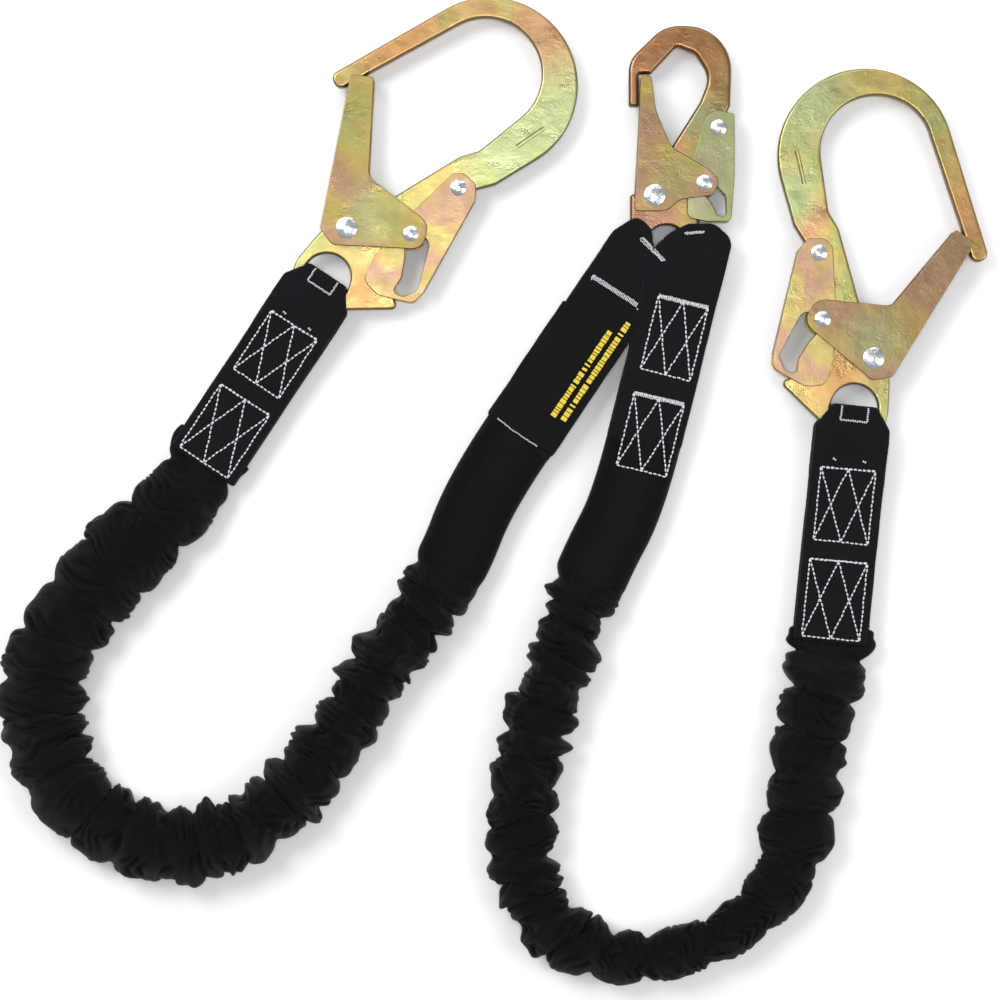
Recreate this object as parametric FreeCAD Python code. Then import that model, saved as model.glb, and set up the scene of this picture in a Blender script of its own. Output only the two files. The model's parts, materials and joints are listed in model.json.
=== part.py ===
import FreeCAD, Part
import math
import os

# Twin-leg shock absorbing lanyard, laid out flat on a table.
# Millimetres. +Z is up from the table. The origin is on the table, under the middle of the box
# round the three hooks. +X runs from the left leg's hook towards the right leg's hook.

Vector = FreeCAD.Vector
UP = Vector(0, 0, 1)

# ---- driving dimensions -------------------------------------------------------------------
PLATE = 8.0              # thickness of each hook's forged body
RUN_GAP = 0.3            # side gap between the body and the lock lever
LEVER_SHEET = 1.5        # sheet of the lock lever
GATE_SHEET = 1.8         # sheet of the gate
RIVET_HEAD = 1.85        # height of a rivet head
RIVET_PLAY = 0.15        # end play under a pivot rivet's head
HOLE_PLAY = 0.05         # radial running clearance on a pivot rivet
PIVOT_R = 4.0            # shank radius, gate pivot rivet
SMALL_R = 3.0            # shank radius, catch and lever rivets
WIRE = 1.5               # diameter of the spring wire
SPRING_TURN = 5.3        # radius of a spring's turn, to the middle of the wire
WIRE_PLAY = 0.3          # room above and below a lever spring in its pocket
POCKET_R = 7.0           # radius of the pocket round the lever's rivet
HEAD_RATIO = 1.6         # rivet head's radius over its shank's radius
DOME = 1.4               # height of the domed part of a rivet's head
SHEET_ROUND = 0.5        # rounding of the outer edges of the gate and the lever
EYE_ROUND = 1.5          # rounding of the eye's edges, where the webbing bears
GROOVE_TOOL = 3.0        # diameter of the round tool that presses a body's groove
GROOVE_DEPTH = 0.6

WEB_WIDTH = 45.0         # width of the webbing
WEB_STACK = 10.0         # thickness of the sewn layers
LOOP_THICK = 16.0        # thickness of the loop where it wraps the eye
LOOP_REACH = 24.0        # how far past the eye's centre the loop keeps that thickness
STACK_REACH = 50.0       # how far past the eye's centre it has come down to the sewn layers
FOLD_BACK = 1.5          # how far behind the eye's centre a hook loop's fold reaches
FOLD_WIDTH = 26.4        # width of the webbing where it is bunched in the eye
FOLD_ROUND = 2.0         # rounding of the bunched fold's corners
FLARE_END = 12.0         # how far past the eye's centre it has its full width again
FLARE_ROUND = 5.0        # rounding of the shoulders there
SLEEVE_WALL = 0.8        # wall of the label sleeve
SLEEVE_PLAY = 0.4        # gap between the sleeve and the webbing, each side
JACKET_WIDTH = 46.0      # gathered jacket, flat on the table
JACKET_THICK = 28.0
JACKET_ROUND = 13.5      # rounding of the jacket's section
CHANNEL_WIDTH = 34.0     # hollow inside the jacket
CHANNEL_THICK = 11.0
CHANNEL_ROUND = 2.0
CORE_WIDTH = 30.0        # tear-out core webbing inside the jacket
CORE_THICK = 5.0
CORE_ROUND = 1.0
ELASTIC_WIDTH = 25.0     # elastic band that gathers the jacket
ELASTIC_THICK = 2.5
ELASTIC_ROUND = 0.8
LAYER_PLAY = 0.5         # gap between a strip and the face of the channel beside it

# Heights of the faces, measured from a hook's middle plane.
BODY_FACE = PLATE / 2
LEVER_IN = BODY_FACE + RUN_GAP
LEVER_OUT = LEVER_IN + LEVER_SHEET
GATE_IN = LEVER_OUT + RUN_GAP
GATE_OUT = GATE_IN + GATE_SHEET
HEAD_OUT = GATE_OUT + RIVET_PLAY + RIVET_HEAD
MID = HEAD_OUT           # the rivet heads rest on the table

# Where each hook's eye lies, and how the hook is turned.
RIGHT_EYE = Vector(130.2, -115.7, MID)
LEFT_EYE = Vector(-188.8, -36.5, MID)
HARNESS_EYE = Vector(16.7, -17.3, MID)
LEFT_TURN = -43.0        # degrees, after the left hook is turned over

# Ends of the sewn webbing, where the gathered jacket starts.
LEFT_TOP_END = (-74.1, -135.0)
LEFT_HOOK_END = (-264.3, -150.6)
RIGHT_TOP_END = (2.7, -137.4)
RIGHT_HOOK_END = (115.5, -257.4)

# The label sleeve lies along the left leg's sewn end.
LABEL_TOP = (-26.0, -63.7)
LABEL_END = (-72.0, -131.9)

# Routes of the two jackets over the table, from the harness end to the hook end.
LEFT_ROUTE = [
    LEFT_TOP_END, (-96.5, -168.2), (-112.5, -211.6), (-138.0, -245.6), (-160.5, -279.4),
    (-181.1, -314.2), (-206.1, -346.6), (-236.1, -372.0), (-270.9, -383.2), (-307.0, -378.0),
    (-338.6, -358.2), (-359.5, -325.6), (-364.3, -287.4), (-352.5, -252.4), (-330.1, -224.2),
    (-306.3, -198.0), (-282.5, -178.1), LEFT_HOOK_END,
]
RIGHT_ROUTE = [
    RIGHT_TOP_END, (-6.7, -173.7), (-24.3, -206.6), (-37.8, -239.4), (-48.2, -270.0),
    (-59.1, -300.0), (-68.4, -330.6), (-72.9, -361.6), (-70.5, -392.6), (-59.5, -421.6),
    (-35.5, -443.0), (-3.5, -450.4), (28.9, -443.8), (58.9, -431.2), (83.4, -410.0),
    (95.4, -382.0), (99.0, -351.4), (102.9, -319.6), (112.2, -289.2), RIGHT_HOOK_END,
]

# ---- outlines of the hook parts: corners (x, y, rounding radius), from the eye's centre -----
SCAFFOLD = {
    "pivot": (11.1, 29.9),
    "catch": (-19.5, 53.5),
    "lock": (-21.5, 93.7),
    "eye": 14.5,
    "body": [
        (-36.4, 110.5, 6), (-62.9, 205.3, 52.8), (46.4, 205.3, 52.8), (81.7, 90.9, 4.8),
        (72.2, 87.0, 4.8), (38.2, 189.3, 33.6), (-25.3, 189.3, 33.6), (-15.5, 118.9, 10),
        (-9.2, 108.3, 12), (3.5, 62.5, 12), (21.5, 44.0, 9), (21.5, 14.0, 14), (20, -20, 19.8),
        (-8.1, -20, 19.8), (-44.5, 15.0, 3), (-35.0, 21.0, 5), (-23.0, 23.0, 1),
        (-25.7, 39.1, 34), (-13.9, 54.2, 3.9), (-20.2, 59.1, 3.9), (-28.3, 68.0, 6),
        (-28.8, 98.5, 3),
    ],
    "gate": [
        (-31.0, 51.5, 8), (-23.5, 66.0, 10), (22.5, 61.5, 9), (61.0, 107.6, 1.5),
        (72.6, 99.6, 1.5), (22.5, 18.5, 5), (10.5, 16.5, 5),
    ],
    "gate_web": [(43.5, 86.1), (61.0, 106.6), (62.4, 105.6), (44.9, 84.9)],
    "lever": [
        (-34.2, 95.0, 1.5), (-28.0, 102.5, 5), (-13.5, 102.5, 8), (-11.5, 66.0, 25),
        (-12.5, 30.0, 8), (-17.5, 13.5, 7), (-30.0, 13.0, 9), (-49.5, 24.0, 6),
        (-49.2, 33.0, 2),
    ],
    "lever_web": [(-49.2, 33.0), (-34.2, 94.0), (-32.8, 93.6), (-47.8, 32.6)],
    "lever_slot": [
        (-14.3, 53.3, 3.5), (-19.3, 58.5, 3.5), (-32.0, 57.5, 6), (-45.8, 31.5, 4),
        (-42.0, 22.5, 4), (-35.0, 20.5, 3), (-33.3, 30.5, 6), (-26.5, 41.0, 10),
    ],
    "spring_pocket": [(-32.0, 94.0), (-21.5, 94.0), (-24.0, 66.0), (-34.0, 64.0)],
    "lever_leg": [(-26.8, 92.5), (-37.0, 71.5)],
    "gate_leg": [(15.5, 32.9), (35.5, 68.5)],
    "body_leg": [(7.0, 26.6), (5.6, 22.0)],
    "body_round": 1.6,
    "grooves": [((-34.8, 155.5), (-30.3, 135.7))],
}

SNAP = {
    "pivot": (-7.4, 29.9),
    "catch": (22.7, 37.5),
    "lock": (31.4, 71.0),
    "eye": 12.5,
    "body": [
        (-22.8, 84.0, 1.5), (-22.8, 112.0, 16), (-1.0, 133.0, 22), (40.2, 133.0, 27),
        (38.6, 84.5, 6), (35.8, 79.0, 2), (34.8, 60.0, 8), (30.5, 48.5, 5), (25.6, 42.4, 3.9),
        (17.84, 40.4, 3.9), (20.4, 30.4, 26), (18.8, 20.0, 4), (21, 8, 8), (21, -21, 20.8),
        (-21, -21, 20.8), (-22.0, 14.0, 8), (-22.0, 31.0, 1.8), (-16.9, 31.0, 0.8),
        (-16.9, 39.4, 7.5), (-3.5, 40.5, 5), (1.0, 56.0, 12), (20.5, 87.0, 18),
        (26.3, 102.0, 14), (17.5, 116.0, 8), (6.0, 120.5, 4), (-9.5, 103.8, 1.5),
        (-16.7, 103.8, 1), (-16.7, 84.0, 1),
    ],
    "gate": [
        (-19.6, 20.5, 2), (-16.2, 83.0, 0), (-16.0, 102.8, 2), (-9.6, 102.8, 4),
        (-6.5, 81.0, 30), (2.5, 59.0, 12), (25.0, 46.0, 7), (31.5, 40.0, 5), (28.5, 30.0, 6),
        (8.0, 27.5, 10), (0.0, 20.5, 8),
    ],
    "gate_web": [(-18.7, 36.0), (-16.2, 83.0), (-16.0, 100.5), (-14.4, 100.5), (-14.6, 83.0),
                 (-17.1, 36.0)],
    "lever": [
        (41.0, 79.5, 2), (30.0, 81.5, 6), (24.0, 79.0, 5), (15.5, 52.0, 14), (12.5, 32.0, 8),
        (12.5, 17.0, 4), (24.0, 14.2, 6), (38.8, 14.2, 3), (41.0, 42.0, 10),
    ],
    "lever_web": [(41.0, 78.0), (41.0, 42.0), (39.2, 17.5), (37.7, 17.5), (39.5, 42.0),
                  (39.5, 78.0)],
    "lever_slot": [
        (17.7, 38.4, 3.5), (23.6, 42.5, 3.5), (36.0, 29.5, 4), (36.3, 17.6, 2.5),
        (30.5, 17.6, 2.5), (28.3, 23.0, 5),
    ],
    "spring_pocket": [(31.0, 68.0), (38.0, 66.0), (38.0, 46.0), (33.5, 46.0)],
    "lever_leg": [(36.7, 69.5), (38.2, 50.5)],
    "gate_leg": [(-12.5, 32.5), (-14.3, 62.0)],
    "body_leg": [(-2.2, 28.0), (-1.2, 22.6)],
    "body_round": 2.4,
    "grooves": [],
}

# Sewn webbing at the harness eye, from the eye's centre.
LEFT_TOP_LOOP = [
    (-109.2, -105.0, 0), (-72.0, -130.2, 0), (-22.4, -56.0, 3), (-8.0, -1.0, 1),
    (-9.5, 9.5, 3), (-17.5, 18.0, 7), (-32.0, 8.8, 9),
]
RIGHT_TOP_LOOP = [
    (8.0, -125.6, 0), (-35.6, -114.4, 0), (-21.0, -56.0, 3), (-6.9, -0.9, 1), (3.0, 8.0, 4),
    (13.0, 12.8, 5), (29.0, 12.6, 8), (39.8, 3.0, 9),
]


# ---- geometry helpers ---------------------------------------------------------------------
def rounded_wire(corners):
    """A closed flat outline whose corners (x, y, radius) are rounded by tangent arcs."""
    arcs = []
    count = len(corners)
    for index in range(count):
        x, y, radius = corners[index]
        corner = Vector(x, y, 0)
        before = Vector(*corners[index - 1][:2], 0) - corner
        after = Vector(*corners[(index + 1) % count][:2], 0) - corner
        before.normalize()
        after.normalize()
        half = before.getAngle(after) / 2
        reach = radius / math.tan(half)
        bisector = before + after
        if radius > 0:
            bisector.normalize()
        middle = corner + bisector * (radius / math.sin(half) - radius)
        arcs.append((corner + before * reach, middle, corner + after * reach, radius))
    edges = []
    for index in range(count):
        start, middle, end, radius = arcs[index]
        last_end = arcs[index - 1][2]
        if last_end.distanceToPoint(start) > 0.001:
            edges.append(Part.LineSegment(last_end, start).toShape())
        if radius > 0:
            edges.append(Part.Arc(start, middle, end).toShape())
    return Part.Wire(Part.__sortEdges__(edges))


def slab(wire, low, high):
    """A flat outline made solid from height low to height high."""
    solid = Part.Face(wire).extrude(UP * (high - low))
    solid.translate(UP * low)
    return solid


def polygon(points):
    return Part.makePolygon([Vector(x, y, 0) for x, y in points] + [Vector(*points[0], 0)])


def peg(place, radius, low, high):
    return Part.makeCylinder(radius, high - low, Vector(place[0], place[1], low), UP)


def rod(start, end, diameter, height):
    """A straight wire between two plan points."""
    a = Vector(start[0], start[1], height)
    b = Vector(end[0], end[1], height)
    return Part.makeCylinder(diameter / 2, a.distanceToPoint(b), a, b - a)


def cheeks(sheet, outside):
    """A sheet with its outer edges rounded, and its twin below the hook's middle plane."""
    rounded = sheet.makeFillet(SHEET_ROUND, rim(sheet, (outside,)))
    return [rounded, rounded.mirror(Vector(0, 0, 0), UP)]


def joined(solids):
    return solids[0].multiFuse(solids[1:]).removeSplitter().Solids[0]


def rim(solid, heights):
    """The edges of a flat part that lie whole at one of the heights."""
    found = []
    for edge in solid.Edges:
        box = edge.BoundBox
        if any(abs(box.ZMin - h) < 0.001 and abs(box.ZMax - h) < 0.001 for h in heights):
            found.append(edge)
    return found


# ---- hook parts, each built round the eye's centre with the middle plane at height 0 --------
def hook_body(spec):
    """Forged body: bowl, nose, spine and eye in one plate, with its edges rounded over."""
    body = slab(rounded_wire(spec["body"]), -BODY_FACE, BODY_FACE)
    body = body.makeFillet(spec["body_round"], rim(body, (-BODY_FACE, BODY_FACE)))
    eye = peg((0, 0), spec["eye"], -BODY_FACE, BODY_FACE)
    body = body.cut(eye)
    eye_edges = [e for e in rim(body, (-BODY_FACE, BODY_FACE))
                 if e.CenterOfMass.Length < 0.1 + BODY_FACE and e.isClosed()]
    body = body.makeFillet(EYE_ROUND, eye_edges)
    body = body.cut(peg(spec["pivot"], PIVOT_R + HOLE_PLAY, -BODY_FACE, BODY_FACE))
    body = body.cut(peg(spec["lock"], SMALL_R + HOLE_PLAY, -BODY_FACE, BODY_FACE))
    groove_height = BODY_FACE + GROOVE_TOOL / 2 - GROOVE_DEPTH
    for start, end in spec["grooves"]:
        body = body.cut(rod(start, end, GROOVE_TOOL, groove_height))
        body = body.cut(rod(start, end, GROOVE_TOOL, -groove_height))
    pocket_floor = BODY_FACE - WIRE - 2 * WIRE_PLAY
    pocket = slab(polygon(spec["spring_pocket"]), pocket_floor, BODY_FACE)
    pocket = pocket.fuse(peg(spec["lock"], POCKET_R, pocket_floor, BODY_FACE))
    return body.cut(pocket).Solids[0]


def hook_gate(spec):
    """Gate folded from sheet: two cheeks that straddle the body, joined by the arm's web."""
    sheet = slab(rounded_wire(spec["gate"]), GATE_IN, GATE_OUT)
    web_top = GATE_OUT - SHEET_ROUND
    web = slab(polygon(spec["gate_web"]), -web_top, web_top)
    gate = joined(cheeks(sheet, GATE_OUT) + [web])
    gate = gate.cut(peg(spec["pivot"], PIVOT_R + HOLE_PLAY, -GATE_OUT, GATE_OUT))
    return gate.cut(peg(spec["catch"], SMALL_R, -GATE_OUT, GATE_OUT)).Solids[0]


def hook_lever(spec):
    """Lock lever folded from sheet round the spine, with the slot that the catch pin runs in."""
    sheet = slab(rounded_wire(spec["lever"]), LEVER_IN, LEVER_OUT)
    sheet = sheet.cut(slab(rounded_wire(spec["lever_slot"]), LEVER_IN, LEVER_OUT))
    web_top = LEVER_OUT - SHEET_ROUND
    web = slab(polygon(spec["lever_web"]), -web_top, web_top)
    lever = joined(cheeks(sheet, LEVER_OUT) + [web])
    return lever.cut(peg(spec["lock"], SMALL_R + HOLE_PLAY, -LEVER_OUT, LEVER_OUT)).Solids[0]


def rivet(place, shank_radius, under_head):
    """A headed rivet through the hook, with a domed head at each end."""
    head_radius = shank_radius * HEAD_RATIO
    top = under_head + RIVET_HEAD
    dome_radius = (head_radius ** 2 + DOME ** 2) / (2 * DOME)
    dome = Part.makeSphere(dome_radius, Vector(place[0], place[1], top - dome_radius))
    head = peg(place, head_radius, under_head, top).common(dome)
    other = head.mirror(Vector(0, 0, 0), UP)
    shank = peg(place, shank_radius, -under_head, under_head)
    return joined([shank, head, other])


def torsion_spring(place, height, legs):
    """One turn of wire round a rivet, with two straight legs."""
    turn = Part.makeTorus(SPRING_TURN, WIRE / 2, Vector(place[0], place[1], height), UP)
    return joined([turn] + [rod(a, b, WIRE, height) for a, b in legs])


def hook_parts(prefix, spec):
    pocket_height = BODY_FACE - WIRE / 2 - WIRE_PLAY
    gap_height = (BODY_FACE + GATE_IN) / 2
    return {
        prefix + "_body": hook_body(spec),
        prefix + "_gate": hook_gate(spec),
        prefix + "_lever": hook_lever(spec),
        prefix + "_gate_rivet": rivet(spec["pivot"], PIVOT_R, GATE_OUT + RIVET_PLAY),
        prefix + "_catch_rivet": rivet(spec["catch"], SMALL_R, GATE_OUT),
        prefix + "_lever_rivet": rivet(spec["lock"], SMALL_R, LEVER_OUT + RIVET_PLAY),
        prefix + "_gate_spring": torsion_spring(
            spec["pivot"], gap_height, [spec["gate_leg"], spec["body_leg"]]),
        prefix + "_lever_spring": torsion_spring(
            spec["lock"], pocket_height, [spec["lever_leg"]]),
    }


def eye_clearance(spec):
    """The body's plate grown all round, which the webbing is kept clear of."""
    grown = rounded_wire(spec["body"]).makeOffset2D(RUN_GAP)
    plate = slab(grown, -BODY_FACE - RUN_GAP, BODY_FACE + RUN_GAP)
    hole = peg((0, 0), spec["eye"] - RUN_GAP, -BODY_FACE - RUN_GAP, BODY_FACE + RUN_GAP)
    return plate.cut(hole)


# ---- placing ------------------------------------------------------------------------------
def placed(shape, eye, turn=0.0, turned_over=False):
    moved = shape.copy()
    if turned_over:
        moved.rotate(Vector(0, 0, 0), Vector(0, 1, 0), 180)
    moved.rotate(Vector(0, 0, 0), UP, turn)
    moved.translate(eye)
    return moved


# ---- webbing ------------------------------------------------------------------------------
def side_profile(start, end):
    """The sewn end seen from its edge: thick where it wraps the eye, then thin layers.

    It is a solid along the line from start to end, much wider than the webbing."""
    along = Vector(end[0] - start[0], end[1] - start[1], 0)
    length = along.Length
    half_loop = LOOP_THICK / 2
    half_stack = WEB_STACK / 2
    behind = -WEB_WIDTH
    outline = [
        (behind, MID - half_loop), (LOOP_REACH, MID - half_loop), (STACK_REACH, MID - half_stack),
        (length, MID - half_stack), (length, MID + half_stack), (STACK_REACH, MID + half_stack),
        (LOOP_REACH, MID + half_loop), (behind, MID + half_loop),
    ]
    reach = 2 * WEB_WIDTH
    points = [Vector(x, -reach, z) for x, z in outline]
    solid = Part.Face(Part.makePolygon(points + points[:1])).extrude(Vector(0, 2 * reach, 0))
    solid.rotate(Vector(0, 0, 0), UP, math.degrees(math.atan2(along.y, along.x)))
    solid.translate(Vector(start[0], start[1], 0))
    return solid


def top_loop(outline, end):
    """A sewn end at the harness hook, as deep as its plan outline."""
    plan = slab(rounded_wire(outline), 0, 2 * MID)
    plan.translate(Vector(HARNESS_EYE.x, HARNESS_EYE.y, 0))
    loop = plan.common(side_profile((HARNESS_EYE.x, HARNESS_EYE.y), end))
    return loop.cut(placed(eye_clearance(SNAP), HARNESS_EYE)).Solids[0]


def hook_loop(eye, end, clearance):
    """A sewn end at a scaffold hook: straight webbing folded through the eye."""
    start = (eye.x, eye.y)
    along = Vector(end[0] - start[0], end[1] - start[1], 0)
    edge = [(along.Length, WEB_WIDTH / 2, 0), (FLARE_END, WEB_WIDTH / 2, FLARE_ROUND),
            (-FOLD_BACK, FOLD_WIDTH / 2, FOLD_ROUND)]
    corners = edge + [(x, -y, radius) for x, y, radius in reversed(edge)]
    plan = slab(rounded_wire(corners), 0, 2 * MID)
    plan.rotate(Vector(0, 0, 0), UP, math.degrees(math.atan2(along.y, along.x)))
    plan.translate(Vector(start[0], start[1], 0))
    return plan.common(side_profile(start, end)).cut(clearance).Solids[0]


def label_sleeve(start, end):
    """A flat sleeve round the sewn webbing, open at both ends."""
    along = Vector(end[0] - start[0], end[1] - start[1], 0)
    inside_width = WEB_WIDTH + 2 * SLEEVE_PLAY
    inside_thick = WEB_STACK + 2 * SLEEVE_PLAY
    solids = []
    for wall in (SLEEVE_WALL, 0.0):
        width = inside_width + 2 * wall
        thick = inside_thick + 2 * wall
        solids.append(Part.makeBox(along.Length, width, thick,
                                   Vector(0, -width / 2, MID - thick / 2)))
    sleeve = solids[0].cut(solids[1])
    sleeve.rotate(Vector(0, 0, 0), UP, math.degrees(math.atan2(along.y, along.x)))
    sleeve.translate(Vector(start[0], start[1], 0))
    return sleeve


def route_path(route, height):
    """Straight runs joined by tangent arcs, each as large as its two runs allow."""
    points = [Vector(x, y, height) for x, y in route]
    edges = []
    radii = []
    last = points[0]
    for before, corner, after in zip(points, points[1:], points[2:]):
        back = before - corner
        ahead = after - corner
        reach = 0.45 * min(back.Length, ahead.Length)
        back.normalize()
        ahead.normalize()
        half_turn = (math.pi - back.getAngle(ahead)) / 2
        radius = reach / math.tan(half_turn)
        inward = back + ahead
        inward.normalize()
        middle = corner + inward * (radius / math.cos(half_turn) - radius)
        start = corner + back * reach
        end = corner + ahead * reach
        edges.append(Part.LineSegment(last, start).toShape())
        edges.append(Part.Arc(start, middle, end).toShape())
        radii.append(radius)
        last = end
    edges.append(Part.LineSegment(last, points[-1]).toShape())
    return Part.Wire(edges), radii


def swept(profile, path):
    """A closed profile carried along a flat path, always upright."""
    sweep = Part.BRepOffsetAPI.MakePipeShell(path)
    sweep.setBiNormalMode(UP)
    sweep.add(profile)
    sweep.build()
    sweep.makeSolid()
    return Part.Solid(sweep.shape())


def section(route, height, width, thick, radius):
    """An upright rounded rectangle, square to the start of a route."""
    half_w = width / 2
    half_t = thick / 2
    wire = rounded_wire([(-half_w, -half_t, radius), (half_w, -half_t, radius),
                         (half_w, half_t, radius), (-half_w, half_t, radius)])
    heading = math.degrees(math.atan2(route[1][1] - route[0][1], route[1][0] - route[0][0]))
    wire.rotate(Vector(0, 0, 0), Vector(1, 0, 0), 90)
    wire.rotate(Vector(0, 0, 0), UP, heading - 90)
    wire.translate(Vector(route[0][0], route[0][1], height))
    return wire


def leg_parts(prefix, route):
    """The gathered jacket, hollow, and the core webbing and elastic band inside it."""
    middle = JACKET_THICK / 2
    path, radii = route_path(route, middle)
    profile = section(route, middle, JACKET_WIDTH, JACKET_THICK, JACKET_ROUND)
    outside = swept(profile, path)
    hollow = swept(section(route, middle, CHANNEL_WIDTH, CHANNEL_THICK, CHANNEL_ROUND), path)
    jacket = outside.cut(hollow).Solids[0]
    print(prefix, "path", round(path.Length, 1), "radii", [round(r) for r in radii])
    print(prefix, "jacket volume", round(outside.Volume), "section x length",
          round(Part.Face(profile).Area * path.Length))
    core_height = middle + CHANNEL_THICK / 2 - CORE_THICK / 2 - LAYER_PLAY
    elastic_height = middle - CHANNEL_THICK / 2 + ELASTIC_THICK / 2 + LAYER_PLAY
    core_path, _ = route_path(route, core_height)
    elastic_path, _ = route_path(route, elastic_height)
    return {
        prefix + "_jacket": jacket,
        prefix + "_shock_core": swept(
            section(route, core_height, CORE_WIDTH, CORE_THICK, CORE_ROUND), core_path),
        prefix + "_elastic_band": swept(
            section(route, elastic_height, ELASTIC_WIDTH, ELASTIC_THICK, ELASTIC_ROUND), elastic_path),
    }


# ---- the lanyard --------------------------------------------------------------------------
def build():
    parts = {}
    for name, shape in hook_parts("harness_hook", SNAP).items():
        parts[name] = placed(shape, HARNESS_EYE)
    for name, shape in hook_parts("right_hook", SCAFFOLD).items():
        parts[name] = placed(shape, RIGHT_EYE)
    for name, shape in hook_parts("left_hook", SCAFFOLD).items():
        parts[name] = placed(shape, LEFT_EYE, LEFT_TURN, turned_over=True)

    clearance = eye_clearance(SCAFFOLD)
    parts["left_leg_harness_loop"] = top_loop(LEFT_TOP_LOOP, LEFT_TOP_END)
    parts["right_leg_harness_loop"] = top_loop(RIGHT_TOP_LOOP, RIGHT_TOP_END)
    parts["left_leg_hook_loop"] = hook_loop(
        LEFT_EYE, LEFT_HOOK_END, placed(clearance, LEFT_EYE, LEFT_TURN, turned_over=True))
    parts["right_leg_hook_loop"] = hook_loop(
        RIGHT_EYE, RIGHT_HOOK_END, placed(clearance, RIGHT_EYE))
    parts["label_sleeve"] = label_sleeve(LABEL_TOP, LABEL_END)
    parts.update(leg_parts("left_leg", LEFT_ROUTE))
    parts.update(leg_parts("right_leg", RIGHT_ROUTE))
    return parts


os.makedirs("parts", exist_ok=True)
for node, shape in build().items():
    box = shape.BoundBox
    print(node, len(shape.Solids), shape.isValid(), round(shape.Volume),
          [round(v, 1) for v in (box.XMin, box.YMin, box.ZMin, box.XMax, box.YMax, box.ZMax)])
    shape.exportStep("parts/" + node + ".step")
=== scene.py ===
import json
import math
import random

import bpy
import numpy as np
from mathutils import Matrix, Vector, noise
from mathutils.bvhtree import BVHTree

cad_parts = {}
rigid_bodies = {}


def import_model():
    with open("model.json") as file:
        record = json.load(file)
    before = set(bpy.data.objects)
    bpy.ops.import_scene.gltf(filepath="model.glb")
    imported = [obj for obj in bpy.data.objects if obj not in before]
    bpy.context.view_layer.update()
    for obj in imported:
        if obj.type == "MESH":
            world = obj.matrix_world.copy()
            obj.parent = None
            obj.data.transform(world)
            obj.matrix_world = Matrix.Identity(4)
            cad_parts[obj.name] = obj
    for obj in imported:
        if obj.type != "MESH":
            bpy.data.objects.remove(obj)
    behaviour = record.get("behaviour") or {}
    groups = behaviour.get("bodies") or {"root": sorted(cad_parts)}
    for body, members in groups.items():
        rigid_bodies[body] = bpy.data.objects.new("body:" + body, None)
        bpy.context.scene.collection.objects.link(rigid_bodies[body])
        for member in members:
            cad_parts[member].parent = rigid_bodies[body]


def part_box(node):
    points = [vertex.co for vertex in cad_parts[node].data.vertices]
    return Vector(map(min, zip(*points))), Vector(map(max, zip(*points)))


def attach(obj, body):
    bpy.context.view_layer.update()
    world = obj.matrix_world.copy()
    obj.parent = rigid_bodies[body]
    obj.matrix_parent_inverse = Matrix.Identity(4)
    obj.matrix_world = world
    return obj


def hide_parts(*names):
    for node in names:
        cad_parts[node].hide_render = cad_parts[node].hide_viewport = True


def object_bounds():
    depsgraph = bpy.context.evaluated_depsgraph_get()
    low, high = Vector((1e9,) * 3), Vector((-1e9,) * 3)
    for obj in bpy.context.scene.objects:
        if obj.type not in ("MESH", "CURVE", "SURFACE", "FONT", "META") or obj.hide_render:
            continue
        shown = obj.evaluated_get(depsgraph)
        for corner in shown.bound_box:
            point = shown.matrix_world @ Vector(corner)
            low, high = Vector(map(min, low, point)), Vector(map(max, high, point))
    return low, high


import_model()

CAD_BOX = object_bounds()

# Metres throughout. The hooks' middle plane is the height of the webbing's middle too.
BODY_LOW, BODY_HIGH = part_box("right_hook_body")
MID = (BODY_LOW.z + BODY_HIGH.z) / 2

# Eyes of the hooks, as in the CAD source.
RIGHT_EYE = Vector((0.1302, -0.1157, MID))
LEFT_EYE = Vector((-0.1888, -0.0365, MID))
HARNESS_EYE = Vector((0.0167, -0.0173, MID))

# The jackets' routes, from the harness end to the hook end: the CAD source's points.
LEFT_ROUTE = [
    (-0.0741, -0.1350), (-0.0965, -0.1682), (-0.1125, -0.2116), (-0.1380, -0.2456),
    (-0.1605, -0.2794), (-0.1811, -0.3142), (-0.2061, -0.3466), (-0.2361, -0.3720),
    (-0.2709, -0.3832), (-0.3070, -0.3780), (-0.3386, -0.3582), (-0.3595, -0.3256),
    (-0.3643, -0.2874), (-0.3525, -0.2524), (-0.3301, -0.2242), (-0.3063, -0.1980),
    (-0.2825, -0.1781), (-0.2643, -0.1506),
]
RIGHT_ROUTE = [
    (0.0027, -0.1374), (-0.0067, -0.1737), (-0.0243, -0.2066), (-0.0378, -0.2394),
    (-0.0482, -0.2700), (-0.0591, -0.3000), (-0.0684, -0.3306), (-0.0729, -0.3616),
    (-0.0705, -0.3926), (-0.0595, -0.4216), (-0.0355, -0.4430), (-0.0035, -0.4504),
    (0.0289, -0.4438), (0.0589, -0.4312), (0.0834, -0.4100), (0.0954, -0.3820),
    (0.0990, -0.3514), (0.1029, -0.3196), (0.1122, -0.2892), (0.1155, -0.2574),
]
JACKET_MID = 0.0125       # height of the gathered jacket's middle

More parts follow.
